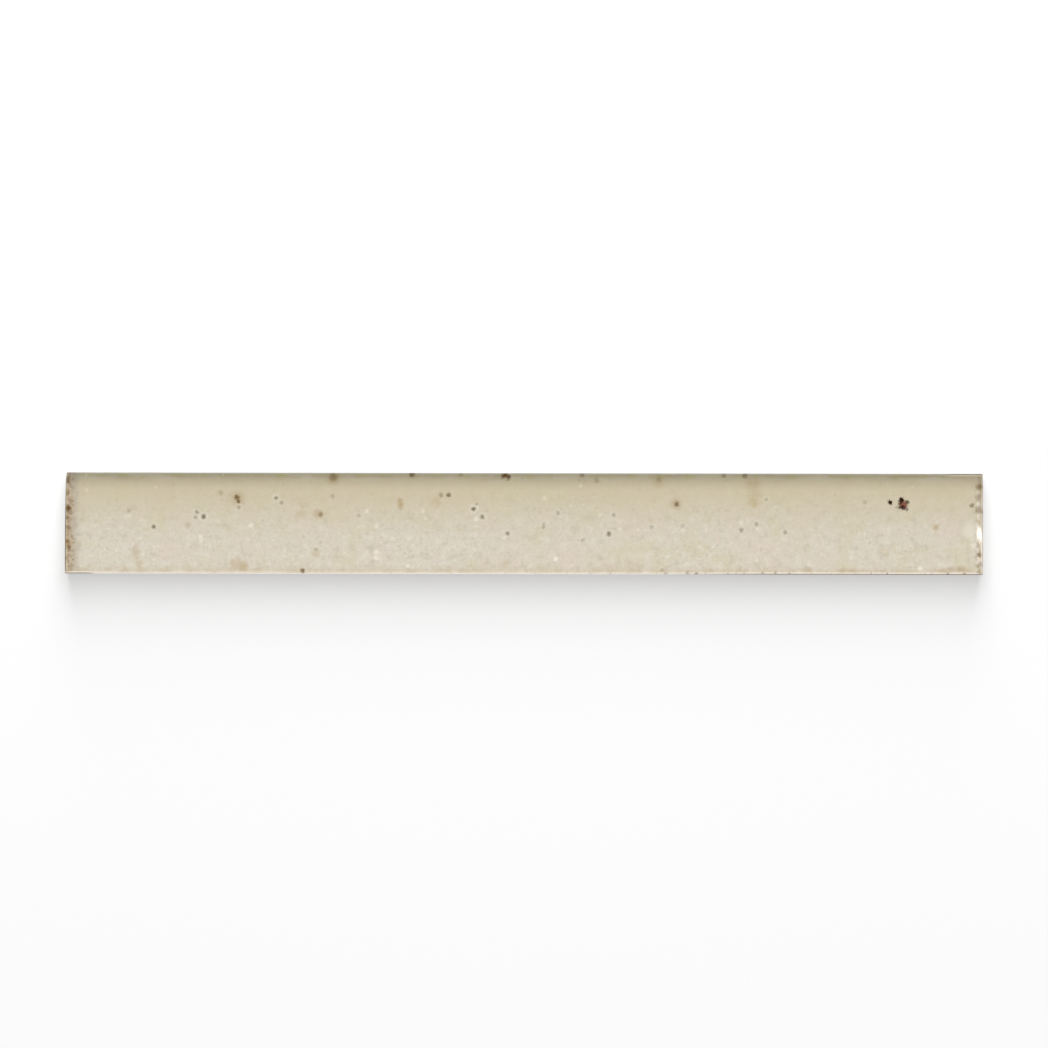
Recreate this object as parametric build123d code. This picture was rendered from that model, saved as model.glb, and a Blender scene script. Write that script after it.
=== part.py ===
"""Porcelain trim tile: a narrow glazed strip with one rolled long edge, pressed and fired as one piece.

Frame, in millimetres: the origin is the centre of the back plane, +X runs along the strip,
+Y points at the rolled long edge and +Z points out of the glazed face.
"""

import os
from math import floor

from build123d import *

# Outline
LENGTH = 200.0
WIDTH = 22.0
THICKNESS = 9.0

# Glazed face: crowned across its width, rolled down at +Y, eased at both ends and at -Y
CROWN_RISE = 0.35
ROLL_RADIUS = 4.5
END_RADIUS = 1.6
ARRIS_RADIUS = 1.0

# How far each rounding is aimed past the wall, so that it stops short of upright, leaves
# the fine line of the punch against the die, and keeps the strip's upright corners crisp
ROLL_LAND = 0.7
EDGE_LAND = 0.3

# Back: bevelled all round, and keyed for the adhesive by grooves along the strip
BACK_BEVEL = 0.8
GROOVE_WIDTH = 2.5
GROOVE_DEPTH = 0.7
GROOVE_DRAFT = 25.0
RIB_WIDTH = 2.0
SIDE_MARGIN = 2.0
END_MARGIN = 7.0


def die_filling():
    """The upright walls that the die gives, open above the face, and the bevel round the back."""
    filling = extrude(Rectangle(LENGTH, WIDTH), THICKNESS + CROWN_RISE)
    back = filling.faces().sort_by(Axis.Z)[0]
    return chamfer(back.edges(), BACK_BEVEL)


def face_section():
    """Section across the strip, in YZ: the crowned face runs into the rolled edge at +Y."""
    low, high = -WIDTH / 2 - EDGE_LAND, WIDTH / 2 + ROLL_LAND
    shoulder = THICKNESS - CROWN_RISE
    below_back = -BACK_BEVEL
    middle = (low + high) / 2
    crown = ThreePointArc((low, shoulder), (middle, THICKNESS), (high, shoulder))
    sides = Polyline((high, shoulder), (high, below_back), (low, below_back), (low, shoulder))
    section = make_face(Plane.YZ * (crown + sides))
    rolled_corner = section.vertices().filter_by(lambda v: v.Z > 0).sort_by(Axis.Y)[-1]
    return fillet(rolled_corner, ROLL_RADIUS)


def punched_face():
    """The form that the punch gives: the section along the strip, with its ends and -Y edge eased."""
    form = extrude(face_section(), LENGTH / 2 + EDGE_LAND, both=True)
    crown = form.faces().sort_by(Axis.Z)[-1]
    ends = crown.edges().filter_by(lambda e: abs(e.center().X) > LENGTH / 2)
    form = fillet(ends, END_RADIUS)
    crown = form.faces().sort_by(Axis.Z)[-1]
    straight_edge = crown.edges().filter_by(Axis.X).sort_by(Axis.Y)[0]
    return fillet(straight_edge, ARRIS_RADIUS)


def back_grooves():
    """Keying grooves along the back, as many as fit between the side margins."""
    pitch = GROOVE_WIDTH + RIB_WIDTH
    keyed_width = WIDTH - 2 * (BACK_BEVEL + SIDE_MARGIN)
    count = floor((keyed_width + RIB_WIDTH) / pitch)
    slot = SlotOverall(LENGTH - 2 * END_MARGIN, GROOVE_WIDTH)
    groove = extrude(slot, GROOVE_DEPTH, taper=GROOVE_DRAFT)
    return [Pos(0, (i - (count - 1) / 2) * pitch, 0) * groove for i in range(count)]


trim_tile = (die_filling() & punched_face()) - back_grooves()

os.makedirs("parts", exist_ok=True)
export_step(trim_tile, "parts/trim_tile.step")
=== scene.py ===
"""Looks of the porcelain trim tile: a glazed strip with one rolled long edge, on a white floor.

Everything is in metres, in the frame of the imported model: +X runs along the strip,
+Y points at the rolled long edge and +Z out of the glazed face.
"""

from math import atan, ceil, cos, pi, radians, sin, tan

import bpy
import numpy as np
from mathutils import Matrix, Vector, noise


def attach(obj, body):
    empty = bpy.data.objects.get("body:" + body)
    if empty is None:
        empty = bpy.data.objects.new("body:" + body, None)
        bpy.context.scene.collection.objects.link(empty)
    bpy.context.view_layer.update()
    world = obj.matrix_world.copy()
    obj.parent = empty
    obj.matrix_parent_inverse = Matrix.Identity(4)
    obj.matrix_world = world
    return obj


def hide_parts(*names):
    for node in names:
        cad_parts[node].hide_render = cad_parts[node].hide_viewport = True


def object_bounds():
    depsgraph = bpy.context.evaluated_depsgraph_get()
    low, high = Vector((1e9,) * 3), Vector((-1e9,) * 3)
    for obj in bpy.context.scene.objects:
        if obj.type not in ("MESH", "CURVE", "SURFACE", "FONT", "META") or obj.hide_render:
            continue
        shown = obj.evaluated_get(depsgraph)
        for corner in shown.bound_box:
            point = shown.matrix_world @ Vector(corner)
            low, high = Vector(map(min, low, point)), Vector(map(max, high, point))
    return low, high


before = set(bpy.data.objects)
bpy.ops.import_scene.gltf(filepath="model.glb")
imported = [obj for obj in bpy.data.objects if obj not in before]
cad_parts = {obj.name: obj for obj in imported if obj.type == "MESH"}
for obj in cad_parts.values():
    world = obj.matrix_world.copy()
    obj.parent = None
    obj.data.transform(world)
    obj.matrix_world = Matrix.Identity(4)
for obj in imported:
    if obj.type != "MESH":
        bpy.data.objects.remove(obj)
cad_low, cad_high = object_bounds()

MM = 0.001

# Outline of the strip, from the frame
HALF_LENGTH = cad_high.x
HALF_WIDTH = cad_high.y
TOP = cad_high.z

# Glazed face: crowned across its width, rolled down at +Y, eased at both ends and at -Y.
# Each rounding is aimed a little past its wall, by its land.
CROWN_RISE = 0.35 * MM
ROLL_RADIUS = 4.5 * MM
ROLL_LAND = 0.7 * MM
END_RADIUS = 1.6 * MM
ARRIS_RADIUS = 1.0 * MM
EDGE_LAND = 0.3 * MM
CORNER_RADIUS = 0.12 * MM

# Unevenness of the fired face: a slow swell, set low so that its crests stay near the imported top,
# and a finer ripple, both calm near the ends
SWELL_HEIGHT, SWELL_LENGTH, SWELL_SET_LOW = 0.07 * MM, 16 * MM, 0.5
RIPPLE_HEIGHT, RIPPLE_LENGTH = 0.012 * MM, 3.5 * MM
CALM_REACH, CALM_LEAST = 5 * MM, 0.25

# The -X end is a little out of square: it leans in towards its +Y corner
OUT_OF_SQUARE = 0.25 * MM

# The +X end has the softer rounding, and its glaze sinks on both sides of one thick drop
SOFT_RADIUS, SOFT_LAND = 2.6 * MM, 0.6 * MM
DROP_PLACE, DROP_WIDTH, DROP_LENGTH = -2.3 * MM, 3.6 * MM, 5 * MM
DROP_HEIGHT = 0.14 * MM

# Glaze on the walls: it runs lower on the rolled side, and ends in a soft bead over the bare body
GLAZE_END = 4.6 * MM
GLAZE_END_ROLLED, ROLLED_REACH = 1.9 * MM, 2 * MM
GLAZE_DRIP, GLAZE_DRIP_LENGTH, DRIP_LOST_ROLLED = 0.9 * MM, 11 * MM, 0.5
GLAZE_COAT, GLAZE_BEAD, BEAD_RISE = 0.12 * MM, 0.02 * MM, 0.3 * MM

# Rows of the mesh on the walls: those above the bead, as shares of the way down to the end of the glaze,
# and those in which the glaze thins, tapers and stops
ROWS_ABOVE = (0.3, 0.6)
THIN_GLAZE, TAPER_GLAZE, TAPER_SHARE = 0.85, 0.4, 0.7
TAPER_DROP, STOP_DROP = 0.1 * MM, 0.16 * MM

# Back: bevelled all round, with keying grooves along the strip
BACK_BEVEL = 0.8 * MM
GROOVE_COUNT, GROOVE_PITCH = 4, 4.5 * MM
GROOVE_CENTRES = [(i - (GROOVE_COUNT - 1) / 2) * GROOVE_PITCH for i in range(GROOVE_COUNT)]
GROOVE_WIDTH = 2.5 * MM
GROOVE_DEPTH = 0.7 * MM
GROOVE_DRAFT = radians(25)
GROOVE_END_MARGIN = 7 * MM
GROOVE_HALF_LENGTH = HALF_LENGTH - GROOVE_END_MARGIN

# Spacing of the mesh on the open face, along and across, and on the roundings; the back keeps only
# one station along in so many, and edges over the sharp angle are shaded sharp
SPACING_ALONG, SPACING_ACROSS, SPACING_ROUND = 0.34 * MM, 0.3 * MM, 0.12 * MM
BACK_STEP = 10
SHARP_ANGLE = radians(38)

# Bake map: the gap round its charts, and the size of the back on it
MAP_GAP, BACK_MAP_SIZE = 0.012, 0.5

# Guards against rounding errors
SLACK, TINY = 1e-6, 1e-9

# Marks in the glaze: millimetres along and across from the centre, radius, and strength from 0 to 1
IRON_SPOTS = [
    (79.7, 4.8, 0.5, 1.0), (82.2, 5.4, 0.52, 1.0), (82.1, 5.0, 0.5, 0.95), (81.7, 4.5, 0.38, 0.7),
    (83.5, 4.8, 0.48, 0.75), (82.4, 3.7, 0.48, 0.9), (82.0, 3.7, 0.42, 0.85), (82.8, 3.6, 0.36, 0.8),
    (83.3, 3.3, 0.42, 0.6), (81.2, 3.7, 0.36, 0.3),
]
BROWN_SPOTS = [
    (-62.5, 5.6, 0.55, 0.85), (-62.2, 4.8, 0.45, 0.85), (33.2, 4.3, 0.5, 0.8), (-44.3, 2.0, 0.48, 0.6),
    (-18.1, 6.2, 0.48, 0.5), (-16.4, 6.2, 0.45, 0.8), (97.5, 4.1, 0.45, 0.7), (-48.2, -10.3, 0.5, 0.85),
    (-41.6, 10.0, 0.8, 0.5), (-24.4, 10.7, 0.6, 0.75), (99.4, 8.2, 0.5, 0.5), (99.0, 6.2, 0.5, 0.55),
    (99.1, 3.3, 0.8, 0.45), (99.6, 2.8, 0.4, 0.7), (99.2, -6.7, 0.5, 0.7), (99.5, -8.8, 0.6, 0.4),
    (-99.4, 9.4, 0.6, 0.6), (-99.2, 3.2, 0.65, 0.95), (-99.4, 1.1, 0.4, 0.6), (-99.2, -0.8, 0.5, 0.5),
    (-99.5, 6.4, 0.5, 0.4), (-99.4, -4.1, 0.45, 0.6), (-99.1, -5.3, 0.42, 0.8), (-99.5, -7.6, 0.4, 0.4),
    (-4.0, 10.5, 0.55, 1.0), (-4.6, 10.3, 0.45, 0.9), (-3.4, 10.2, 0.45, 0.9), (-4.7, 9.9, 0.34, 0.5),
    (-3.4, 9.8, 0.38, 0.6), (48.1, 10.5, 0.55, 0.6), (43.5, 10.5, 0.45, 0.5), (12.6, 10.6, 0.5, 0.5),
    (-13.8, 10.7, 0.4, 0.4), (15.8, 9.4, 0.55, 0.3), (29.4, 9.6, 0.5, 0.3), (35.6, -10.7, 0.35, 0.5),
    (52.0, -10.7, 0.3, 0.5), (54.8, -10.7, 0.3, 0.5), (30.1, -10.2, 0.4, 0.3),
]
RUST_STAINS = [
    (-62.4, 5.4, 1.5, 0.45), (33.1, 4.4, 1.2, 0.4), (-44.9, 2.1, 1.0, 0.45), (-27.0, 4.9, 0.6, 0.6),
    (-26.9, 4.1, 0.6, 0.7), (-26.8, 3.3, 0.5, 0.55), (89.7, -0.7, 0.6, 0.55), (78.1, -6.4, 1.1, 0.2),
    (-41.6, 9.8, 1.3, 0.4), (-99.5, -4.4, 0.9, 0.6), (-45.3, -6.6, 0.8, 0.3), (-73.2, -0.4, 0.6, 0.35),
]
PINHOLES = [
    (-80.6, -0.8, 0.44, 0.85), (-71.2, 2.4, 0.4, 0.6), (-69.8, 1.4, 0.5, 0.9), (-71.6, 1.2, 0.36, 0.6),
    (-62.1, 3.4, 0.4, 0.55), (-54.0, 5.5, 0.42, 0.75), (-52.8, 4.5, 0.42, 0.5), (-41.7, 5.9, 0.45, 0.35),
    (-36.0, 1.7, 0.4, 0.3), (-11.0, 3.2, 0.46, 0.9), (-10.3, 4.3, 0.34, 0.35), (-9.1, 1.4, 0.46, 0.75),
    (-3.6, -2.2, 0.44, 0.75), (7.4, 2.3, 0.42, 0.4), (4.3, -0.1, 0.36, 0.4), (4.3, -0.8, 0.36, 0.45),
    (12.8, -3.5, 0.4, 0.4), (19.5, 1.9, 0.42, 0.5), (18.5, -2.2, 0.5, 0.85), (27.8, -0.7, 0.44, 0.4),
    (47.3, -1.3, 0.44, 0.6), (50.6, 0.0, 0.42, 0.5), (52.8, 5.4, 0.36, 0.4), (56.9, -1.8, 0.42, 0.5),
    (-86.1, 2.6, 0.45, 0.35), (34.5, -0.5, 0.4, 0.3), (-45.3, -5.7, 0.4, 0.4), (74.2, 4.8, 0.45, 0.3),
    (-66.0, 6.6, 0.5, 0.3),
]
OCHRE_PATCHES = [
    (-62.4, -9.0, 1.2, 0.5), (-61.2, -9.6, 1.1, 0.65), (-63.4, -8.4, 0.7, 0.5), (50.0, 4.9, 1.2, 0.6),
    (50.3, 6.6, 1.5, 0.4), (49.8, 8.4, 1.5, 0.5), (-84.5, -6.6, 1.0, 0.45), (-83.7, -9.0, 0.9, 0.4),
    (-48.6, 1.9, 1.0, 0.35), (-48.4, 4.1, 0.9, 0.3), (29.1, 9.5, 1.3, 0.4), (-19.2, 4.7, 1.0, 0.4),
    (-4.0, -8.7, 0.8, 0.35), (-8.3, -8.8, 0.9, 0.3), (-66.3, 6.6, 0.8, 0.3),
]
SMEARS = [
    (93.2, -9.8, 0.5, 0.6), (95.2, -9.7, 0.55, 0.75), (91.4, -10.1, 0.45, 0.5), (69.5, -10.1, 0.45, 0.55),
    (71.2, -10.1, 0.45, 0.5), (61.8, -9.9, 0.5, 0.4), (19.5, -9.4, 1.2, 0.16), (23.5, -9.3, 1.0, 0.16),
    (78.2, -10.2, 0.4, 0.3), (40.6, -10.2, 0.4, 0.3), (-18.0, -10.2, 0.4, 0.25), (-90.5, -10.1, 0.4, 0.3),
]
# Pale specks, and one large painted haze of reflected light beside the glint at the +X end (97.4, -1.6)
PALE_SPECKS_AND_GLINT_HAZE = [
    (-70.4, -3.0, 0.45, 0.7), (-70.4, -3.9, 0.4, 0.6), (-59.5, -0.5, 0.5, 0.7), (-32.1, -0.5, 0.45, 0.5),
    (-32.2, -6.3, 0.5, 0.7), (-32.2, -7.5, 0.5, 0.7), (-34.2, 2.7, 0.4, 0.5), (-10.5, 0.9, 0.5, 0.6),
    (4.5, 5.6, 0.45, 0.4), (6.9, -7.7, 0.45, 0.9), (12.4, 8.2, 0.4, 0.35), (-25.3, -9.2, 0.5, 0.6),
    (86.2, -9.6, 0.5, 0.8), (50.7, -1.0, 0.4, 0.5), (47.2, 0.2, 0.5, 0.5), (-4.2, -3.1, 0.4, 0.5),
    (21.0, -1.2, 0.4, 0.4), (-22.0, 2.6, 0.4, 0.4), (-21.4, 1.1, 0.4, 0.4), (50.7, -7.9, 0.4, 0.5),
    (34.6, -1.4, 0.4, 0.4), (16.6, 2.0, 0.4, 0.4), (-86.0, 1.6, 0.5, 0.3), (97.4, -1.6, 1.6, 0.42),
    (97.9, -4.6, 0.6, 0.5), (60.1, -8.6, 0.7, 0.3), (62.3, -8.5, 0.6, 0.3),
]

# The red heart of the cluster of iron spots, and how far smears are drawn out along the strip
IRON_CORE = (82.6, 4.3, 0.95, 0.9)
SMEAR_STRETCH = 1.9

# Pits under the spots and pinholes: depth and reach in radii of the mark, fading out near the edges
PIT_DEPTH, PIT_REACH, PIT_BORDER = 0.16, 1.3, 4 * MM

# Pale rims of the pinholes that are at least so strong: reach in radii of the pinhole, and strength
HALO_REACH, HALO_STRENGTH, HALO_LEAST = 2.1, 0.5, 0.4

# Soft edge of the scattered specks, as a share of the largest, and the shift that sets noises apart
SPECK_SOFTNESS, NOISE_SHIFT = 0.8, (300.0, 70.0, 0.0)

# Where the glaze changes towards the rolled edge, in millimetres across from the centre: each change
# has the place where it starts and the place where it is full
THICKENING = (-5.0, 10.5)
POOLING, POOL_FADING = (9.5, 10.9), (15.0, 11.5)
UNDER_RIM, UNDER_RIM_FADING = (8.6, 10.0), (11.2, 10.4)
# The lip band is a painted highlight along the very top of the rolled edge, where the steep rounding turns
# from the light
RIM_HIGHLIGHT_RISING, RIM_HIGHLIGHT_FADING = (10.6, 10.8), (12.0, 11.3)

# Where it changes at the other edges, likewise, in millimetres in from the edge
LEFT_THINNING, LEFT_BREAK = (4.2, 1.4), (2.1, 1.2)
# At -X, the line at the very edge is painted shade
LEFT_BARE, LEFT_SHADE_LINE = (0.75, 0.35), (0.3, 0.12)
# At +X, the pale line is thin glaze with a painted highlight along the end's rounding
RIGHT_FRINGE, RIGHT_PALE_AND_HIGHLIGHT_LINE = (1.8, 0.5), (0.5, 0.3)
SOUTH_BREAK, SOUTH_DASHES = (2.2, 0.6), (0.6, 0.3)
# Along -Y: a pale line of thin glaze with a painted highlight on the arris, and at the very edge a line of
# painted shade
PALE_AND_HIGHLIGHT_LINE, PALE_AND_HIGHLIGHT_INSET, SOUTH_SHADE_LINE = (0.25, 0.1), 0.27, (0.24, 0.1)
CORNER_THINNING, CORNER_LINE, CORNER_LINE_INSET = (3.0, 0.8), (0.24, 0.1), 0.38
# The last of these, the corner's line at the very edge, is painted shade
CORNER_SHADE_LINE = (0.24, 0.12)

# Where those edges change along the strip, and the bare -X edge across it, in millimetres from the centre
CRISP_RIGHT, CRISP_LEFT = (20.0, 60.0), (-93.0, -95.0)
DASHES_RIGHT, CORNER_RIGHT = (0.0, 50.0), (91.0, 94.0)
BARE_SOUTH = (-2.0, -5.0)

# Finish: roughness of the glaze, what spots and bare body add to it, gloss, and the relief of the body
GLAZE_ROUGHNESS, SPOT_ROUGHER, BODY_ROUGHER = (0.12, 0.2), 0.25, 0.65
GLAZE_GLOSS, SPOT_GLOSS_LOSS = 0.5, 0.48
BUMP_STRENGTH, BUMP_DEPTH, GLAZE_SMOOTHS = 0.6, 0.1 * MM, 0.96

# Camera: straight above, through a long lens; what it frames and where, read from the photograph
IMAGE_SIDE = 1048
TILE_COLUMNS = 918.5
TILE_CENTRE = (524.0, 523.6)
CAMERA_ROLL = radians(0.1)
LENS, SENSOR = 300.0, 36.0

# Floor: its size, the gap under the tile, and how white it is to its lamp and to the camera
FLOOR_HALF, FLOOR_GAP = 12.0, 0.02 * MM
FLOOR_WHITE, FLOOR_GLOW = 0.3, 0.55

# Lamps: place, size and strength
OVERHEAD_PLACE, OVERHEAD_SIZE, OVERHEAD_STRENGTH = (0, 0, 1.5), (3.0, 3.0), 1.28
FRONT_PLACE, FRONT_SIZE, FRONT_STRENGTH = (0, -1.13, 1.13), (1.6, 1.0), 2.2
FLOOR_LIGHT_PLACE, FLOOR_LIGHT_SIZE, FLOOR_LIGHT_STRENGTH = (0, 1.0, 1.0), (0.8, 2.8), 9.8

# Glint on the +X end: its lamp leans out past the end, at a distance from its top edge
GLINT_LEAN, GLINT_DISTANCE, GLINT_ACROSS = radians(61), 0.45, -0.013
GLINT_SIZE, GLINT_STRENGTH = (0.028, 0.7), 32.0


def srgb(red, green, blue):
    """A colour as a screen shows it, from 0 to 255, as the linear colour that a node takes."""
    shares = np.array([red, green, blue]) / 255
    linear = np.where(shares <= 0.04045, shares / 12.92, ((shares + 0.055) / 1.055) ** 2.4)
    return (*linear.tolist(), 1.0)


# Shape

def smooth_noise(x, y, length, offset=0.0):
    """Noise from about -1 to 1 over arrays of places, with features about that long."""
    flat = zip(np.ravel(x) / length, np.ravel(y) / length)
    values = [noise.noise((a, b, offset)) for a, b in flat]
    return np.reshape(values, np.shape(x))


def stations(breaks, spacing_at):
    """Coordinates from the first break to the last, through every break, as close as spacing_at asks."""
    parts = []
    for start, end in zip(breaks, breaks[1:]):
        count = ceil((end - start) / spacing_at((start + end) / 2) - SLACK)
        parts.append(np.linspace(start, end, count, endpoint=False))
    return np.append(np.concatenate(parts), breaks[-1])


def stations_along():
    """Stations along the strip, close together on the end roundings and at the ends of the grooves."""
    groove_straight = GROOVE_HALF_LENGTH - GROOVE_WIDTH / 2
    ahead = [groove_straight, GROOVE_HALF_LENGTH, HALF_LENGTH - END_RADIUS, HALF_LENGTH]
    breaks = [-place for place in reversed(ahead)] + [0.0] + ahead

    def spacing(place):
        return SPACING_ROUND if abs(place) > HALF_LENGTH - END_RADIUS else SPACING_ALONG

    return stations(breaks, spacing)


def stations_across():
    """Stations across the strip, on every edge of the grooves, and close together on the roundings."""
    slope = GROOVE_DEPTH * tan(GROOVE_DRAFT)
    mouth = GROOVE_WIDTH / 2
    walls = (-mouth, slope - mouth, mouth - slope, mouth)
    edges = [centre + wall for centre in GROOVE_CENTRES for wall in walls]
    breaks = [-HALF_WIDTH, ARRIS_RADIUS - HALF_WIDTH, *edges, HALF_WIDTH]

    def spacing(place):
        rounded = place < ARRIS_RADIUS - HALF_WIDTH or place > HALF_WIDTH - ROLL_RADIUS / 2
        return SPACING_ROUND if rounded else SPACING_ACROSS

    return stations(breaks, spacing)


def rounded_plan(x, y, half_x, half_y, radius):
    """Pulls the places near a rectangle's corners in, so that the corners are round in plan."""
    u = np.clip((np.abs(x) - half_x) / radius + 1, 0, 1)
    v = np.clip((np.abs(y) - half_y) / radius + 1, 0, 1)
    pull = np.maximum(u, v) / np.maximum(np.hypot(u, v), TINY)
    inside = (u == 0) | (v == 0)
    pull = np.where(inside, 1, pull)
    new_x = np.where(inside, x, np.sign(x) * (half_x - radius + u * pull * radius))
    new_y = np.where(inside, y, np.sign(y) * (half_y - radius + v * pull * radius))
    return new_x, new_y


def rounding_drop(inset, radius, land):
    """How far a rounding has fallen at a distance in from its wall."""
    reach = np.clip(1 - (inset + land) / radius, 0, 1)
    return radius * (1 - np.sqrt(1 - reach ** 2))


def pit(x, y, mark, depth):
    """The dimple that one mark leaves in the glaze."""
    along, across, radius = (value * MM for value in mark[:3])
    share = np.clip(1 - ((x - along) ** 2 + (y - across) ** 2) / (PIT_REACH * radius) ** 2, 0, 1)
    return depth * mark[3] * radius * share ** 2


def face_height(x, y):
    """Height of the glazed face, with its roundings, its unevenness and its pits."""
    crown_middle = (ROLL_LAND - EDGE_LAND) / 2
    crown_half = HALF_WIDTH + (ROLL_LAND + EDGE_LAND) / 2
    height = TOP - CROWN_RISE * ((y - crown_middle) / crown_half) ** 2
    height -= rounding_drop(HALF_WIDTH - y, ROLL_RADIUS, ROLL_LAND)
    height -= rounding_drop(HALF_WIDTH + y, ARRIS_RADIUS, EDGE_LAND)
    end_radius = np.where(x > 0, SOFT_RADIUS, END_RADIUS)
    end_land = np.where(x > 0, SOFT_LAND, EDGE_LAND)
    height -= rounding_drop(HALF_LENGTH - np.abs(x), end_radius, end_land)
    near_end = np.clip(1 - (HALF_LENGTH - x) / DROP_LENGTH, 0, 1)
    beside_drop = 1 - np.exp(-((y - DROP_PLACE) / DROP_WIDTH) ** 2)
    height -= DROP_HEIGHT * near_end ** 2 * (3 - 2 * near_end) * beside_drop
    rough = np.clip((HALF_LENGTH - np.abs(x)) / CALM_REACH, CALM_LEAST, 1)
    height += rough * SWELL_HEIGHT * (smooth_noise(x, y, SWELL_LENGTH) - SWELL_SET_LOW)
    height += rough * RIPPLE_HEIGHT * smooth_noise(x, y, RIPPLE_LENGTH, offset=5)
    inset = np.minimum(HALF_LENGTH - np.abs(x), HALF_WIDTH - np.abs(y))
    depth = PIT_DEPTH * np.clip(inset / PIT_BORDER, 0, 1)
    for mark in IRON_SPOTS + BROWN_SPOTS + PINHOLES:
        height -= pit(x, y, mark, depth)
    return height


def groove_depth(x, y):
    """How far the keying grooves reach up into the back."""
    beyond = np.maximum(np.abs(x) - (GROOVE_HALF_LENGTH - GROOVE_WIDTH / 2), 0)
    from_centre = np.min([np.hypot(beyond, y - centre) for centre in GROOVE_CENTRES], axis=0)
    return np.clip((GROOVE_WIDTH / 2 - from_centre) / tan(GROOVE_DRAFT), 0, GROOVE_DEPTH)


def glaze_end(x, y):
    """Height on the walls at which the glaze ends."""
    rolled = np.clip((y - HALF_WIDTH) / ROLLED_REACH + 1, 0, 1)
    end = GLAZE_END + (GLAZE_END_ROLLED - GLAZE_END) * rolled
    drip = GLAZE_DRIP * (1 - DRIP_LOST_ROLLED * rolled)
    return end + drip * smooth_noise(x, y, GLAZE_DRIP_LENGTH, offset=9)


class Shell:
    """The tile's vertices and faces as they are added.

    Each vertex has its share of glaze and its place on the plan, which unrolls the walls outwards
    from the face. Each face has the chart of the map it lies on.
    """

    def __init__(self):
        self.places, self.plans, self.glaze = [], [], []
        self.faces, self.charts = [], []
        self.count = 0

    def add_vertices(self, places, plans, glaze):
        """Adds a list of vertices and gives the index of the first."""
        first = self.count
        self.places.append(places)
        self.plans.append(plans)
        self.glaze.append(np.full(len(places), glaze))
        self.count += len(places)
        return first

    def add_face(self, corners, chart):
        self.faces.append(corners)
        self.charts.append(chart)


def around(count_x, count_y):
    """Grid indices round the outline of the face, counter-clockwise from above."""
    south = [(i, 0) for i in range(count_x - 1)]
    east = [(count_x - 1, j) for j in range(count_y - 1)]
    north = [(i, count_y - 1) for i in range(count_x - 1, 0, -1)]
    west = [(0, j) for j in range(count_y - 1, 0, -1)]
    return south + east + north + west


def add_top(shell, along, across):
    """Adds the glazed face, and gives its vertices as a grid of places."""
    count_x, count_y = len(along), len(across)
    flat_x, flat_y = np.meshgrid(along, across, indexing="ij")
    x, y = rounded_plan(flat_x, flat_y, HALF_LENGTH, HALF_WIDTH, CORNER_RADIUS)
    height = face_height(x, y)
    x = x + OUT_OF_SQUARE * np.clip(-x / HALF_LENGTH, 0, 1) * ((y / HALF_WIDTH + 1) / 2) ** 3
    top = np.stack([x, y, height], axis=-1)
    plan = np.stack([x, y, np.zeros_like(x)], axis=-1)
    shell.add_vertices(top.reshape(-1, 3), plan.reshape(-1, 3), 1.0)
    for i in range(count_x - 1):
        chart = "left" if along[i + 1] <= 0 else "right"
        for j in range(count_y - 1):
            corner = i * count_y + j
            shell.add_face((corner, corner + count_y, corner + count_y + 1, corner + 1), chart)
    return top


def wall_charts(outline, count_x, count_y, along):
    """The chart that each stretch of wall lies on."""
    charts = []
    for (i, j), (k, m) in zip(outline, outline[1:] + outline[:1]):
        if i == k and i in (0, count_x - 1):
            charts.append("west" if i == 0 else "east")
        else:
            charts.append("left" if along[i] + along[k] < 0 else "right")
    return charts


def add_walls(shell, top, along):
    """Adds the walls in rows down from the face's outline: glaze, its bead, and the bare body set in."""
    count_x, count_y = top.shape[:2]
    outline = around(count_x, count_y)
    upper = [i * count_y + j for i, j in outline]
    x, y, z = top.reshape(-1, 3)[upper].T
    end = glaze_end(x, y)
    ends, sides = {0: -1, count_x - 1: 1}, {0: -1, count_y - 1: 1}
    out_x = np.array([ends.get(i, 0) for i, j in outline])
    out_y = np.array([sides.get(j, 0) for i, j in outline])
    plan_x = np.where(out_y == 0, out_x, 0)
    charts = wall_charts(outline, count_x, count_y, along)
    rows = [(z + (end - z) * share, 0.0, 1.0) for share in ROWS_ABOVE]
    rows += [
        (end + BEAD_RISE, GLAZE_BEAD, 1.0),
        (end, 0.0, THIN_GLAZE),
        (end - TAPER_DROP, -TAPER_SHARE * GLAZE_COAT, TAPER_GLAZE),
        (end - STOP_DROP, -GLAZE_COAT, 0.0),
        (np.full_like(z, BACK_BEVEL), -GLAZE_COAT, 0.0),
    ]
    for height, out, glaze in rows:
        places = np.stack([x + out * out_x, y + out * out_y, height], axis=-1)
        plans = np.stack([x + (z - height) * plan_x, y + (z - height) * out_y, np.zeros_like(x)], axis=-1)
        first = shell.add_vertices(places, plans, glaze)
        lower = list(range(first, first + len(outline)))
        for p, chart in enumerate(charts):
            q = (p + 1) % len(outline)
            shell.add_face((upper[p], lower[p], lower[q], upper[q]), chart)
        upper = lower
    return outline, upper


def back_stations(values, half, keep):
    """The stations that the back keeps: those inside its bevel that keep picks, and the bevel's edge."""
    limit = half - BACK_BEVEL - SPACING_ALONG
    inner = [i for i in range(1, len(values) - 1) if abs(values[i]) < limit and keep(i)]
    picked = [0, *inner, len(values) - 1]
    places = values[picked].copy()
    places[0], places[-1] = BACK_BEVEL - half, half - BACK_BEVEL
    return picked, places


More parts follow.
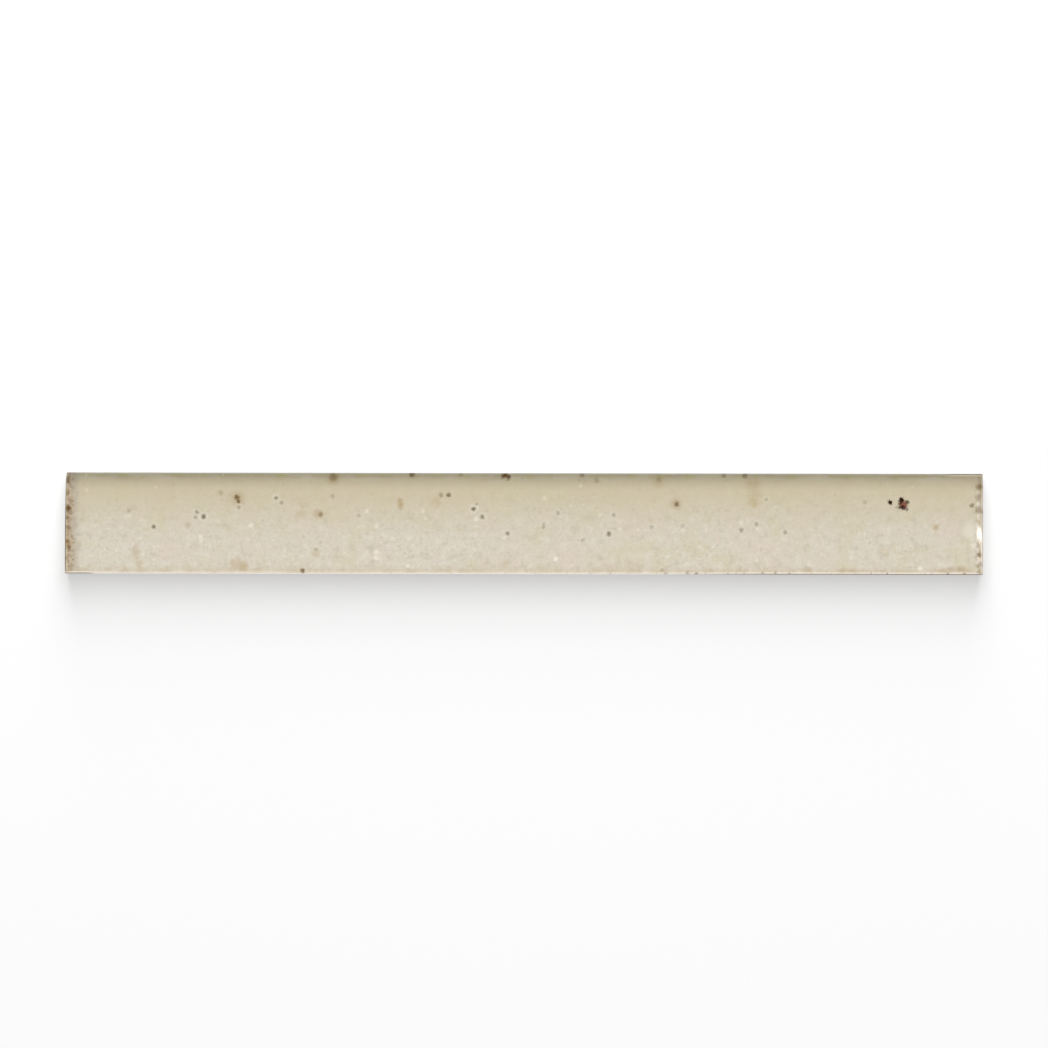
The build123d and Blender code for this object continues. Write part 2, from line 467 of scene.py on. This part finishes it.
def add_back(shell, along, across, outline, foot):
    """Adds the grooved back and the bevel that joins it to the foot of the walls."""
    groove_ends = GROOVE_HALF_LENGTH - GROOVE_WIDTH

    def keep_along(i):
        return i % BACK_STEP == 0 or groove_ends < abs(along[i]) < GROOVE_HALF_LENGTH

    picked_x, back_x = back_stations(along, HALF_LENGTH, keep_along)
    picked_y, back_y = back_stations(across, HALF_WIDTH, lambda j: True)
    x, y = np.meshgrid(back_x, back_y, indexing="ij")
    back = np.stack([x, y, groove_depth(x, y)], axis=-1).reshape(-1, 3)
    first = shell.add_vertices(back, back, 0.0)
    columns = len(back_y)
    for a in range(len(back_x) - 1):
        for b in range(columns - 1):
            corner = first + a * columns + b
            shell.add_face((corner, corner + 1, corner + columns + 1, corner + columns), "back")

    row_of = {i: a for a, i in enumerate(picked_x)}
    column_of = {j: b for b, j in enumerate(picked_y)}
    kept = [p for p, (i, j) in enumerate(outline) if i in row_of and j in column_of]
    for start, end in zip(kept, kept[1:] + [len(outline)]):
        ends = [outline[p % len(outline)] for p in (start, end)]
        inner = [first + row_of[i] * columns + column_of[j] for i, j in ends]
        between = [foot[p % len(outline)] for p in range(end, start, -1)]
        shell.add_face((foot[start], *inner, *between), "back")


def bake_map(places, plans, corners, charts):
    """Map coordinates of every face corner: the unrolled glaze in two halves, the back and the end walls."""
    x, y, z = places[corners].T
    plan_y = plans[corners][:, 1]
    scale = (1 - 2 * MAP_GAP) / HALF_LENGTH
    rows = [
        [("left", x, plan_y, 1.0)],
        [("right", x, plan_y, 1.0)],
        [("back", x, y, BACK_MAP_SIZE)],
        [("west", y, z, 1.0), ("east", y, z, 1.0)],
    ]
    uv = np.zeros((len(corners), 2))
    level = MAP_GAP
    for row in rows:
        start, tallest = MAP_GAP, 0.0
        for chart, across_map, up_map, size in row:
            picked = charts == chart
            u, v = across_map[picked], up_map[picked]
            uv[picked, 0] = start + (u - u.min()) * scale * size
            uv[picked, 1] = level + (v - v.min()) * scale * size
            start += np.ptp(u) * scale * size + MAP_GAP
            tallest = max(tallest, np.ptp(v) * scale * size)
        level += tallest + MAP_GAP
    return uv


def tile_mesh():
    """The whole tile as one closed mesh, with its plan and its share of glaze as attributes."""
    shell = Shell()
    along, across = stations_along(), stations_across()
    top = add_top(shell, along, across)
    outline, foot = add_walls(shell, top, along)
    add_back(shell, along, across, outline, foot)
    places, plans = np.concatenate(shell.places), np.concatenate(shell.plans)

    mesh = bpy.data.meshes.new("glazed_tile")
    mesh.from_pydata(places.tolist(), [], shell.faces)
    mesh.attributes.new("glaze", "FLOAT", "POINT").data.foreach_set("value", np.concatenate(shell.glaze))
    mesh.attributes.new("plan", "FLOAT_VECTOR", "POINT").data.foreach_set("vector", plans.ravel())
    corners = np.concatenate(shell.faces)
    charts = np.repeat(shell.charts, [len(face) for face in shell.faces])
    uv = bake_map(places, plans, corners, charts)
    mesh.uv_layers.new(name="OFBake").uv.foreach_set("vector", uv.ravel())
    mesh.shade_smooth()
    mesh.set_sharp_from_angle(angle=SHARP_ANGLE)
    return mesh


# Materials

# Colours as a screen shows them: the ground of the glaze
CREAM, WARM_CREAM = srgb(217, 209, 192), srgb(217, 207, 187)
YELLOW_CLOUD, PINK_CLOUD = srgb(213, 204, 175), srgb(219, 205, 190)
DARK_MOTTLE, PALE_MOTTLE = srgb(200, 190, 168), srgb(227, 220, 206)
DARK_GRAIN, PALE_GRAIN = srgb(196, 185, 163), srgb(231, 224, 210)
DARK_DUST, PALE_DUST = srgb(200, 191, 172), srgb(229, 222, 208)

# The glaze where it thickens towards the rolled edge
THICK_GLAZE = srgb(203, 190, 155)
GREY_RIM, OLIVE_RIM = srgb(180, 170, 140), srgb(186, 181, 118)
SMOKE, MILK = srgb(176, 156, 130), srgb(216, 206, 182)
# Painted highlight along the very top of the rolled edge
PAINTED_RIM_HIGHLIGHT = srgb(222, 216, 190)

# The glaze where it breaks over the other edges
THINNED, BREAK_DARK, BREAK_PALE = srgb(178, 166, 146), srgb(160, 136, 104), srgb(200, 180, 152)
# The dark end line is painted shade at the very -X edge
BARE_EDGE, END_PAINTED_SHADE = srgb(232, 212, 178), srgb(92, 76, 58)
# At the +X end, a brown fringe, and a pale line that is thin glaze with a painted highlight
FRINGE, END_THIN_GLAZE_AND_HIGHLIGHT = srgb(160, 141, 104), srgb(236, 218, 192)
# The pale arris colour is thin glaze with a painted highlight on the -Y arris
SOUTH_PATCH, ARRIS_THIN_GLAZE_AND_HIGHLIGHT = srgb(200, 184, 155), srgb(249, 238, 223)
# The second colour is painted shade for the very -Y edge, where the wall below lies in shade
ARRIS_DASH, ARRIS_PAINTED_SHADE = srgb(146, 118, 92), srgb(112, 96, 76)
# The corner's dark colour is painted shade along its very top edge
CORNER_THIN, CORNER_PALE, CORNER_PAINTED_SHADE = srgb(216, 197, 168), srgb(252, 236, 190), srgb(92, 90, 82)

# Marks in the glaze
OCHRE, SMEAR, RUST = srgb(184, 161, 112), srgb(180, 154, 116), srgb(176, 146, 98)
# The pale speck colour also paints a haze of reflected light beside the glint
PALE_FLECK, PALE_SPECK_AND_GLINT_HAZE, GREY_FLECK = srgb(234, 227, 211), srgb(240, 233, 217), srgb(160, 149, 127)
HALO, PINHOLE = srgb(230, 223, 206), srgb(114, 101, 68)
IRON_RED, IRON_BROWN, IRON_BLACK = srgb(126, 58, 38), srgb(112, 84, 44), srgb(44, 20, 2)

# The bare body, and the thin edge of the glaze over it
BISCUIT, PALE_BISCUIT, BISCUIT_GRAIN = srgb(222, 206, 184), srgb(231, 218, 199), srgb(186, 166, 140)
GLAZE_EDGE = srgb(186, 164, 128)


class Graph:
    """A node tree, with one call for each kind of node. An input is a socket or a plain value."""

    def __init__(self, tree):
        self.tree = tree
        tree.nodes.clear()

    def feed(self, socket, value):
        if isinstance(value, bpy.types.NodeSocket):
            self.tree.links.new(value, socket)
        else:
            socket.default_value = value

    def node(self, kind, inputs, **settings):
        made = self.tree.nodes.new("ShaderNode" + kind)
        for name, value in settings.items():
            setattr(made, name, value)
        for key, value in inputs.items():
            self.feed(made.inputs[key], value)
        return made

    def math(self, operation, *values):
        return self.node("Math", dict(enumerate(values)), operation=operation).outputs[0]

    def vector(self, operation, *values, output=0):
        return self.node("VectorMath", dict(enumerate(values)), operation=operation).outputs[output]

    def noise(self, vector, scale, detail=2.0, output=0):
        inputs = {"Vector": vector, "Scale": scale, "Detail": detail}
        return self.node("TexNoise", inputs).outputs[output]

    def ramp(self, value, start, end, least=0.0, most=1.0):
        inputs = {"Value": value, "From Min": start, "From Max": end, "To Min": least, "To Max": most}
        return self.node("MapRange", inputs, interpolation_type="SMOOTHSTEP").outputs[0]

    def mix(self, factor, first, second):
        inputs = {0: factor, 6: first, 7: second}
        return self.node("Mix", inputs, data_type="RGBA").outputs[2]


def marks(graph, plan, list_of_marks, softness, reach=1.0, stretch=1.0):
    """Where a list of marks lies on the face: a mark's strength inside it, falling to 0 past its edge."""
    squeezed = graph.vector("MULTIPLY", plan, (1 / stretch, 1.0, 0.0))
    total = 0.0
    for along, across, radius, strength in list_of_marks:
        away = graph.vector("DISTANCE", squeezed, (along / stretch, across, 0.0), output=1)
        edge = reach * radius
        inside = graph.ramp(away, edge * (1 + softness), edge * (1 - softness), most=strength)
        total = graph.math("MAXIMUM", inside, total)
    return total


def scattered(graph, plan, spacing, largest, share):
    """A scatter of small specks of many sizes, in that share of the cells of a loose net."""
    cells = graph.node("TexVoronoi", {"Vector": plan, "Scale": 1 / spacing}, voronoi_dimensions="2D")
    chance = graph.node("SeparateColor", {"Color": cells.outputs["Color"]}).outputs[0]
    radius = graph.ramp(chance, 1 - share, 1.0, most=largest / spacing)
    nearness = graph.math("SUBTRACT", radius, cells.outputs["Distance"])
    return graph.ramp(nearness, 0.0, SPECK_SOFTNESS * largest / spacing)


def warped(graph, flat, scale, reach):
    """The plan with its places shifted about, so that what is drawn on it gets an uneven outline."""
    shift = graph.vector("SUBTRACT", graph.noise(flat, scale, output=1), (0.5, 0.5, 0.5))
    return graph.vector("ADD", flat, graph.vector("MULTIPLY", shift, (reach, reach, 0.0)))


def ground_colour(graph, flat, shifted, fine):
    """Cream glaze, clouded, mottled and grained."""
    slow = graph.noise(flat, scale=0.06, detail=4)
    cloud = graph.noise(shifted, scale=0.15, detail=4)
    finest = graph.noise(shifted, scale=2.3)
    middle = graph.noise(shifted, scale=0.5)
    colour = graph.mix(graph.ramp(slow, 0.35, 0.65), CREAM, WARM_CREAM)
    colour = graph.mix(graph.ramp(cloud, 0.5, 0.68, most=0.75), colour, YELLOW_CLOUD)
    colour = graph.mix(graph.ramp(cloud, 0.5, 0.32, most=0.7), colour, PINK_CLOUD)
    colour = graph.mix(graph.ramp(middle, 0.48, 0.25, most=0.65), colour, DARK_MOTTLE)
    colour = graph.mix(graph.ramp(middle, 0.52, 0.75, most=0.65), colour, PALE_MOTTLE)
    busy = graph.ramp(slow, 0.6, 0.4, 0.35, 1.0)
    dark_grain = graph.math("MULTIPLY", graph.ramp(fine, 0.45, 0.22), busy)
    pale_grain = graph.math("MULTIPLY", graph.ramp(fine, 0.56, 0.76), busy)
    colour = graph.mix(dark_grain, colour, DARK_GRAIN)
    colour = graph.mix(pale_grain, colour, PALE_GRAIN)
    colour = graph.mix(graph.ramp(finest, 0.5, 0.25, most=0.45), colour, DARK_DUST)
    return graph.mix(graph.ramp(finest, 0.55, 0.75, most=0.45), colour, PALE_DUST)


def rim_colours(graph, colour, shifted, y, run):
    """Turns the glaze olive where it thickens towards the rolled edge, with streaks, and paints a pale
    highlight along its lip.
    """
    wavy = graph.math("ADD", y, graph.ramp(run, 0.2, 0.8, -0.5, 0.5))
    colour = graph.mix(graph.ramp(wavy, *THICKENING, most=0.8), colour, THICK_GLAZE)
    rim = graph.mix(graph.ramp(run, 0.35, 0.65), GREY_RIM, OLIVE_RIM)
    pooling = graph.ramp(wavy, *POOLING, most=0.8)
    pooled = graph.math("MULTIPLY", pooling, graph.ramp(wavy, *POOL_FADING, 0.2, 1.0))
    colour = graph.mix(pooled, colour, rim)
    drawn_out = graph.vector("MULTIPLY", shifted, (0.5, 2.0, 0.0))
    streak = graph.noise(drawn_out, scale=0.25, detail=4)
    under_rim = graph.math("MULTIPLY", graph.ramp(y, *UNDER_RIM), graph.ramp(y, *UNDER_RIM_FADING))
    smoky = graph.math("MULTIPLY", under_rim, graph.ramp(streak, 0.5, 0.68, most=0.28))
    milky = graph.math("MULTIPLY", under_rim, graph.ramp(streak, 0.5, 0.34, most=0.55))
    colour = graph.mix(smoky, colour, SMOKE)
    colour = graph.mix(milky, colour, MILK)
    # Painted highlight: a paler band along the lip, where the steep rounding turns from the light
    painted_lip_highlight = graph.math("MULTIPLY", graph.ramp(y, *RIM_HIGHLIGHT_RISING, most=0.85), graph.ramp(y, *RIM_HIGHLIGHT_FADING))
    return graph.mix(painted_lip_highlight, colour, PAINTED_RIM_HIGHLIGHT)


def left_end_colours(graph, colour, left, from_left, y, fine):
    """Thins the glaze towards the -X end, where it breaks brown and bares the body, and paints a dark line
    of shade at its outer edge.
    """
    colour = graph.mix(graph.ramp(left, *LEFT_THINNING, most=0.8), colour, THINNED)
    brown = graph.mix(graph.ramp(fine, 0.4, 0.6), BREAK_DARK, BREAK_PALE)
    colour = graph.mix(graph.ramp(left, *LEFT_BREAK, most=0.85), colour, brown)
    bare = graph.math("MULTIPLY", graph.ramp(from_left, *LEFT_BARE), graph.ramp(y, *BARE_SOUTH, 0.58, 0.8))
    colour = graph.mix(bare, colour, BARE_EDGE)
    # Painted shade: a dark line at the very -X edge, standing for the wall in shade
    return graph.mix(graph.ramp(from_left, *LEFT_SHADE_LINE, most=0.85), colour, END_PAINTED_SHADE)


def arris_colours(graph, colour, flat, x, from_south):
    """Draws the pale line along -Y, thin glaze with a painted highlight on the arris, its brown dashes, and
    a line of painted shade at the very edge where it is crisp.
    """
    crisp = graph.math("MAXIMUM", graph.ramp(x, *CRISP_RIGHT), graph.ramp(x, *CRISP_LEFT))
    inset = graph.math("MULTIPLY", crisp, PALE_AND_HIGHLIGHT_INSET)
    beside = graph.math("ABSOLUTE", graph.math("SUBTRACT", from_south, inset))
    # Pale line along the -Y arris: thin glaze, with a painted highlight on the arris
    pale = graph.math("MULTIPLY", graph.ramp(beside, *PALE_AND_HIGHLIGHT_LINE), graph.ramp(crisp, 0.0, 1.0, 1.0, 0.52))
    colour = graph.mix(pale, colour, ARRIS_THIN_GLAZE_AND_HIGHLIGHT)
    lengthwise = graph.noise(graph.vector("MULTIPLY", flat, (1.0, 0.0, 0.0)), scale=0.6, detail=3)
    gaps = graph.ramp(lengthwise, 0.55, 0.64)
    broken = graph.math("MULTIPLY", gaps, graph.ramp(x, *DASHES_RIGHT, 0.15, 0.8))
    dashes = graph.math("MULTIPLY", broken, graph.ramp(from_south, *SOUTH_DASHES))
    colour = graph.mix(dashes, colour, ARRIS_DASH)
    # Painted shade: a dark line at the very -Y edge where it is crisp, standing for the wall in shade below
    painted_edge_shade = graph.math("MULTIPLY", graph.ramp(from_south, *SOUTH_SHADE_LINE, most=0.9), crisp)
    return graph.mix(painted_edge_shade, colour, ARRIS_PAINTED_SHADE)


def corner_colours(graph, colour, x, y):
    """Thins the glaze over the rolled edge at the +X corner, down to a pale line, and paints a dark line of
    shade at the very edge.
    """
    corner = graph.ramp(x, *CORNER_RIGHT)
    from_north = graph.math("ABSOLUTE", graph.math("SUBTRACT", HALF_WIDTH / MM, y))
    thin = graph.math("MULTIPLY", corner, graph.ramp(from_north, *CORNER_THINNING, most=0.45))
    colour = graph.mix(thin, colour, CORNER_THIN)
    beside = graph.math("ABSOLUTE", graph.math("SUBTRACT", from_north, CORNER_LINE_INSET))
    pale = graph.math("MULTIPLY", corner, graph.ramp(beside, *CORNER_LINE, most=0.75))
    colour = graph.mix(pale, colour, CORNER_PALE)
    # Painted shade: a dark line along the very top edge at the +X corner
    dark = graph.math("MULTIPLY", corner, graph.ramp(from_north, *CORNER_SHADE_LINE, most=0.8))
    return graph.mix(dark, colour, CORNER_PAINTED_SHADE)


def edge_colours(graph, colour, flat, x, y, run, fine):
    """Lets the glaze break brown at both ends and along -Y, and pale where it is thinnest over an arris;
    adds painted highlights on the -Y and +X arrises and painted shade lines at the very edges.
    """
    half_length, half_width = HALF_LENGTH / MM, HALF_WIDTH / MM
    from_left = graph.math("ABSOLUTE", graph.math("ADD", x, half_length))
    from_right = graph.math("ABSOLUTE", graph.math("SUBTRACT", half_length, x))
    from_south = graph.math("ABSOLUTE", graph.math("ADD", y, half_width))
    uneven = graph.ramp(graph.noise(flat, scale=0.8, detail=3), 0.25, 0.75, -0.6, 0.6)
    left = graph.math("ADD", from_left, uneven)
    right = graph.math("ADD", from_right, uneven)
    south = graph.math("ADD", from_south, uneven)

    colour = left_end_colours(graph, colour, left, from_left, y, fine)
    colour = graph.mix(graph.ramp(right, *RIGHT_FRINGE, most=0.95), colour, FRINGE)
    near_south = graph.ramp(south, *SOUTH_BREAK)
    patchy = graph.math("MULTIPLY", near_south, graph.ramp(run, 0.42, 0.62, 0.25, 0.65))
    colour = graph.mix(patchy, colour, SOUTH_PATCH)
    # The pale line at the +X end is thin glaze with a painted highlight along the end's rounding
    colour = graph.mix(graph.ramp(from_right, *RIGHT_PALE_AND_HIGHLIGHT_LINE, most=0.68), colour, END_THIN_GLAZE_AND_HIGHLIGHT)
    colour = arris_colours(graph, colour, flat, x, from_south)
    return corner_colours(graph, colour, x, y)


def mark_colours(graph, colour, flat, fine):
    """Adds stains, specks, a painted haze beside the glint, pinholes and spots of iron to the glaze, and
    gives where it is matt.
    """
    near = warped(graph, flat, scale=2.4, reach=0.9)
    wide = warped(graph, flat, scale=0.6, reach=2.0)
    broken = graph.ramp(fine, 0.3, 0.6, 0.55, 1.0)
    patches = graph.math("MULTIPLY", marks(graph, wide, OCHRE_PATCHES, 0.7), broken)
    colour = graph.mix(patches, colour, OCHRE)
    smears = graph.math("MULTIPLY", marks(graph, near, SMEARS, 0.7, stretch=SMEAR_STRETCH), broken)
    colour = graph.mix(smears, colour, SMEAR)
    colour = graph.mix(marks(graph, near, RUST_STAINS, 0.7), colour, RUST)
    pale = graph.math("MULTIPLY", scattered(graph, near, spacing=5.0, largest=0.45, share=0.4), 0.45)
    colour = graph.mix(pale, colour, PALE_FLECK)
    # Pale specks, with one painted haze of reflected light beside the glint
    colour = graph.mix(marks(graph, near, PALE_SPECKS_AND_GLINT_HAZE, 0.6), colour, PALE_SPECK_AND_GLINT_HAZE)
    grey = graph.math("MULTIPLY", scattered(graph, near, spacing=4.0, largest=0.5, share=0.4), 0.25)
    colour = graph.mix(grey, colour, GREY_FLECK)
    rimmed = [mark for mark in PINHOLES if mark[3] >= HALO_LEAST]
    halo = graph.math("MULTIPLY", marks(graph, near, rimmed, 0.4, HALO_REACH), HALO_STRENGTH)
    colour = graph.mix(halo, colour, HALO)
    holes = marks(graph, near, PINHOLES, 0.7)
    colour = graph.mix(holes, colour, PINHOLE)
    core = marks(graph, near, [IRON_CORE], 0.5)
    colour = graph.mix(core, colour, IRON_RED)
    brown = marks(graph, near, BROWN_SPOTS, 0.6)
    colour = graph.mix(brown, colour, IRON_BROWN)
    iron = marks(graph, near, IRON_SPOTS, 0.4)
    colour = graph.mix(iron, colour, IRON_BLACK)
    matt = graph.math("MAXIMUM", graph.math("MAXIMUM", holes, brown), graph.math("MAXIMUM", core, iron))
    return colour, matt


def biscuit_colour(graph, place):
    """Colour of the bare fired body: pale and warm, with fine dark grains."""
    cloud = graph.noise(place, scale=0.15, detail=4)
    colour = graph.mix(graph.ramp(cloud, 0.3, 0.7), BISCUIT, PALE_BISCUIT)
    grain = graph.noise(place, scale=3.0, detail=3)
    return graph.mix(graph.ramp(grain, 0.42, 0.28, most=0.5), colour, BISCUIT_GRAIN)


def tile_material():
    """Glazed porcelain: glossy speckled glaze over a matt pale body."""
    material = bpy.data.materials.new("speckled_glaze")
    material.use_nodes = True
    graph = Graph(material.node_tree)
    where = graph.node("TexCoord", {}).outputs["Object"]
    place = graph.vector("MULTIPLY", where, (1 / MM, 1 / MM, 1 / MM))
    plan = graph.node("Attribute", {}, attribute_name="plan").outputs["Vector"]
    flat = graph.vector("MULTIPLY", plan, (1 / MM, 1 / MM, 0.0))
    split = graph.node("SeparateXYZ", {"Vector": flat})
    x, y = split.outputs["X"], split.outputs["Y"]
    coat = graph.node("Attribute", {}, attribute_name="glaze").outputs["Fac"]
    fine = graph.noise(flat, scale=1.1, detail=3)
    run = graph.noise(graph.vector("MULTIPLY", flat, (1.0, 0.3, 0.0)), scale=0.35, detail=3)
    shifted = graph.vector("ADD", flat, NOISE_SHIFT)

    glaze = ground_colour(graph, flat, shifted, fine)
    glaze = rim_colours(graph, glaze, shifted, y, run)
    glaze = edge_colours(graph, glaze, flat, x, y, run, fine)
    glaze, matt = mark_colours(graph, glaze, flat, fine)
    glaze = graph.mix(graph.ramp(coat, 1.0, THIN_GLAZE, most=0.5), glaze, GLAZE_EDGE)
    glazed = graph.ramp(coat, 0.2, 0.8)
    colour = graph.mix(glazed, biscuit_colour(graph, place), glaze)

    shine = graph.ramp(fine, 0.3, 0.7, *GLAZE_ROUGHNESS)
    shine = graph.math("ADD", shine, graph.math("MULTIPLY", matt, SPOT_ROUGHER))
    bare = graph.math("SUBTRACT", BODY_ROUGHER, graph.math("MULTIPLY", glazed, BODY_ROUGHER))
    roughness = graph.math("ADD", shine, bare)
    gloss = graph.math("SUBTRACT", GLAZE_GLOSS, graph.math("MULTIPLY", matt, SPOT_GLOSS_LOSS))
    grain = graph.noise(place, scale=4.0, detail=3)
    relief = graph.math("SUBTRACT", 1.0, graph.math("MULTIPLY", glazed, GLAZE_SMOOTHS))
    height = graph.math("MULTIPLY", grain, relief)
    bump = graph.node("Bump", {"Strength": BUMP_STRENGTH, "Distance": BUMP_DEPTH, "Height": height})

    shader = graph.node("BsdfPrincipled", {
        "Base Color": colour, "Roughness": roughness, "IOR": 1.5, "Specular IOR Level": gloss,
        "Normal": bump.outputs[0]})
    graph.node("OutputMaterial", {"Surface": shader.outputs[0]})
    return material


def floor_material():
    """White floor, which the camera and reflections see as white and which keeps the tile's shadow."""
    material = bpy.data.materials.new("white_floor")
    material.use_nodes = True
    graph = Graph(material.node_tree)
    diffuse = graph.node("BsdfDiffuse", {"Color": (FLOOR_WHITE, FLOOR_WHITE, FLOOR_WHITE, 1.0)})
    glow = graph.node("Emission", {"Strength": graph.math("MULTIPLY", seen(graph), FLOOR_GLOW)})
    both = graph.node("AddShader", {0: diffuse.outputs[0], 1: glow.outputs[0]})
    graph.node("OutputMaterial", {"Surface": both.outputs[0]})
    return material


def seen(graph):
    """1 for what the camera sees directly, in a reflection or through glass."""
    path = graph.node("LightPath", {}).outputs
    reflected = graph.math("MAXIMUM", path["Is Glossy Ray"], path["Is Transmission Ray"])
    return graph.math("MAXIMUM", path["Is Camera Ray"], reflected)


# Stage

def make_floor():
    """A wide white floor just under the tile."""
    level = cad_low.z - FLOOR_GAP
    corners = [(-1, -1), (1, -1), (1, 1), (-1, 1)]
    mesh = bpy.data.meshes.new("floor")
    mesh.from_pydata([(a * FLOOR_HALF, b * FLOOR_HALF, level) for a, b in corners], [], [(0, 1, 2, 3)])
    mesh.materials.append(floor_material())
    floor = bpy.data.objects.new("floor", mesh)
    bpy.context.scene.collection.objects.link(floor)
    return floor


def make_world():
    """White to the camera and to reflections, and dark otherwise, so that the lamps light the scene."""
    world = bpy.data.worlds.new("studio")
    world.use_nodes = True
    graph = Graph(world.node_tree)
    background = graph.node("Background", {"Color": (1.0, 1.0, 1.0, 1.0), "Strength": seen(graph)})
    graph.node("OutputWorld", {"Surface": background.outputs[0]})
    bpy.context.scene.world = world


def area_lamp(name, place, size, strength, lit, shape="RECTANGLE"):
    """A soft lamp that faces the tile, unseen by the camera, and lights only the object it is for.

    Its power is pi times its strength for each square metre of a rectangle of its size.
    """
    data = bpy.data.lights.new(name, "AREA")
    data.shape = shape
    data.size, data.size_y = size
    data.energy = strength * pi * size[0] * size[1]
    lamp = bpy.data.objects.new(name, data)
    lamp.location = place
    lamp.rotation_euler = (-Vector(place)).to_track_quat("-Z", "Y").to_euler()
    lamp.visible_camera = False
    bpy.context.scene.collection.objects.link(lamp)
    group = bpy.data.collections.new(name + "_lights")
    group.objects.link(lit)
    lamp.light_linking.receiver_collection = group
    return lamp


def make_lamps(tile, floor):
    """Soft light on the tile from above and -Y, a glint at its +X end, and light for the floor from +Y."""
    overhead = area_lamp("overhead", OVERHEAD_PLACE, OVERHEAD_SIZE, OVERHEAD_STRENGTH, tile)
    overhead.visible_glossy = False
    area_lamp("front", FRONT_PLACE, FRONT_SIZE, FRONT_STRENGTH, tile)
    away = Vector((sin(GLINT_LEAN), 0, cos(GLINT_LEAN))) * GLINT_DISTANCE
    glint_place = Vector((HALF_LENGTH, GLINT_ACROSS, TOP)) + away
    glint = area_lamp("glint", glint_place, GLINT_SIZE, GLINT_STRENGTH, tile, "ELLIPSE")
    glint.visible_diffuse = False
    floor_light = area_lamp("floor_light", FLOOR_LIGHT_PLACE, FLOOR_LIGHT_SIZE, FLOOR_LIGHT_STRENGTH, floor)
    floor_light.visible_glossy = False


def make_camera():
    """A camera straight above the tile, framed as the photograph is."""
    data = bpy.data.cameras.new("camera")
    data.lens, data.sensor_width = LENS, SENSOR
    camera = bpy.data.objects.new("camera", data)
    width = 2 * HALF_LENGTH * IMAGE_SIDE / TILE_COLUMNS
    half_angle = atan(SENSOR / 2 / LENS)
    pixel = width / IMAGE_SIDE
    right = (IMAGE_SIDE / 2 - TILE_CENTRE[0]) * pixel
    up = (TILE_CENTRE[1] - IMAGE_SIDE / 2) * pixel
    camera.location = (right, up, TOP + width / 2 / tan(half_angle))
    camera.rotation_euler = (0, 0, CAMERA_ROLL)
    bpy.context.scene.collection.objects.link(camera)
    bpy.context.scene.camera = camera


def make_tile():
    """The glazed tile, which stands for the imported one."""
    mesh = tile_mesh()
    mesh.materials.append(tile_material())
    tile = bpy.data.objects.new("glazed_tile", mesh)
    bpy.context.scene.collection.objects.link(tile)
    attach(tile, "root")
    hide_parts("trim_tile")
    return tile


tile = make_tile()
floor = make_floor()
make_world()
make_lamps(tile, floor)
make_camera()
bpy.context.scene.view_settings.view_transform = "Standard"
